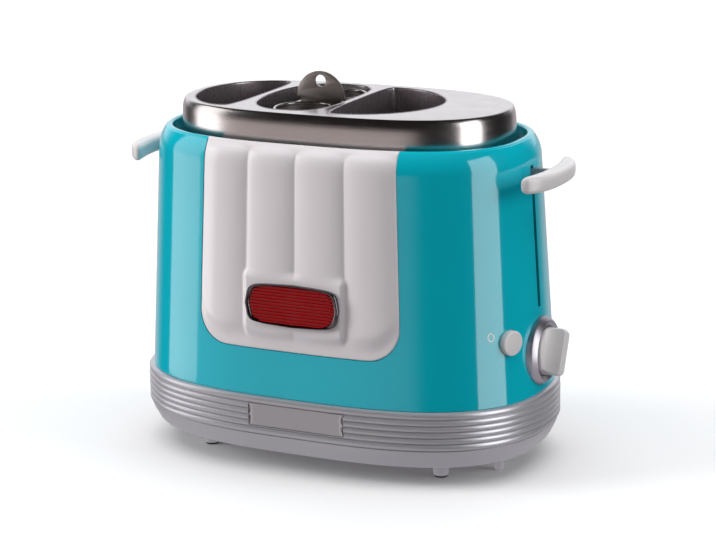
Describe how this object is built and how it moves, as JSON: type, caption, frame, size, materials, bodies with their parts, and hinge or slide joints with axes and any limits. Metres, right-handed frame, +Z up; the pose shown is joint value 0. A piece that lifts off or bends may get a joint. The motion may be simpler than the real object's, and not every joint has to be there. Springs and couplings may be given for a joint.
{
  "type": "hot dog toaster",
  "caption": "Retro countertop toaster with a bun well at each side, a lift-out sausage basket between them, push bars, a timer knob and a cancel button.",
  "frame": {"origin": "on the floor, under the middle of the whole toaster, knob and push bars included", "axes": "+Z up; +X towards the end with the timer knob; -Y towards the front, where the fluted panel and the badge are"},
  "size_m": [0.3286, 0.1872, 0.2689],
  "materials": {
    "teal_enamel": "gloss",
    "white_panel": "gloss",
    "dark_chrome": "polished",
    "red_insert": "gloss",
    "polished_steel": "polished",
    "silver_plastic": "silver, satin",
    "nameplate_silver": "fine-grained",
    "base_grey": "satin",
    "rubber_black": "matt",
    "screw_steel": "zinc plated",
    "galvanised_sheet": "mill",
    "mica": "matt",
    "heating_alloy": "matt",
    "wire_steel": "bright",
    "rod_steel": "ground",
    "spring_steel": "bright",
    "core_iron": "matt",
    "copper_winding": "enamelled",
    "board_green": "satin",
    "component_black": "matt",
    "satin_nickel": "satin",
    "moulded_white": "gloss",
    "guide_nylon": "matt",
    "gland_black": "matt",
    "teal_inner": "satin"
  },
  "bodies": {
    "housing": {"shell": "teal_enamel", "front_panel": "white_panel", "badge_frame": "dark_chrome", "badge_insert": "red_insert", "top_plate": "polished_steel", "plate_skirt": "polished_steel", "left_well_liner": "polished_steel", "basket_well_liner": "polished_steel", "right_well_liner": "polished_steel", "seat_ring": "teal_inner", "base_ring": "silver_plastic", "nameplate": "nameplate_silver", "base_plate": "base_grey", "feet": "silver_plastic", "foot_pads": "rubber_black", "cord_pegs": "silver_plastic", "base_screws": "screw_steel", "oven_box": "galvanised_sheet", "heater_boards": "mica", "heating_ribbon": "heating_alloy", "wire_guards": "wire_steel", "guide_rods": "rod_steel", "rod_brackets": "galvanised_sheet", "return_spring": "spring_steel", "magnet_core": "core_iron", "magnet_coil": "copper_winding", "control_board": "board_green", "board_components": "component_black", "board_stand": "galvanised_sheet", "cancel_switch": "component_black", "timer_body": "component_black", "timer_stand": "galvanised_sheet", "knob_bezel": "satin_nickel", "button_guide": "guide_nylon", "cord_gland": "gland_black", "terminal_block": "guide_nylon"},
    "carriage": {"carriage_frame": "galvanised_sheet", "bun_rest_left": "wire_steel", "bun_rest_right": "wire_steel", "basket_cradle": "galvanised_sheet", "slider_block": "guide_nylon", "left_guide_bush": "guide_nylon", "armature_plate": "core_iron", "bar_arm_right": "galvanised_sheet", "bar_arm_left": "galvanised_sheet", "push_bar_right": "moulded_white", "push_bar_left": "moulded_white"},
    "basket": {"basket_plate": "polished_steel", "basket_tab": "polished_steel", "sausage_cage_front": "wire_steel", "sausage_cage_back": "wire_steel"},
    "knob": {"knob_grip": "moulded_white", "knob_shaft": "rod_steel"},
    "cancel_button": {"button_cap": "moulded_white", "button_stem": "moulded_white"},
    "tray": {"crumb_tray": "galvanised_sheet"}
  },
  "joints": [
    {"name": "carriage_slide", "type": "slide", "parent": "housing", "child": "carriage", "axis": [0, 0, -1], "range_m": [0, 0.088], "stiffness_N_per_m": 60, "springref_m": -0.2, "deforming": ["return_spring"]},
    {"name": "basket_lift", "type": "slide", "parent": "carriage", "child": "basket", "axis": [0, 0, 1], "range_m": [0, 0.135]},
    {"name": "knob_turn", "type": "hinge", "parent": "housing", "child": "knob", "pos_m": [0.155, 0, 0.084], "axis": [1, 0, 0], "range_deg": [-140, 140]},
    {"name": "button_press", "type": "slide", "parent": "housing", "child": "cancel_button", "axis": [-0.907, 0.4211, 0], "range_m": [0, 0.002], "stiffness_N_per_m": 400, "springref_m": -0.002},
    {"name": "tray_slide", "type": "slide", "parent": "housing", "child": "tray", "axis": [0, 1, 0], "range_m": [0, 0.11]}
  ]
}
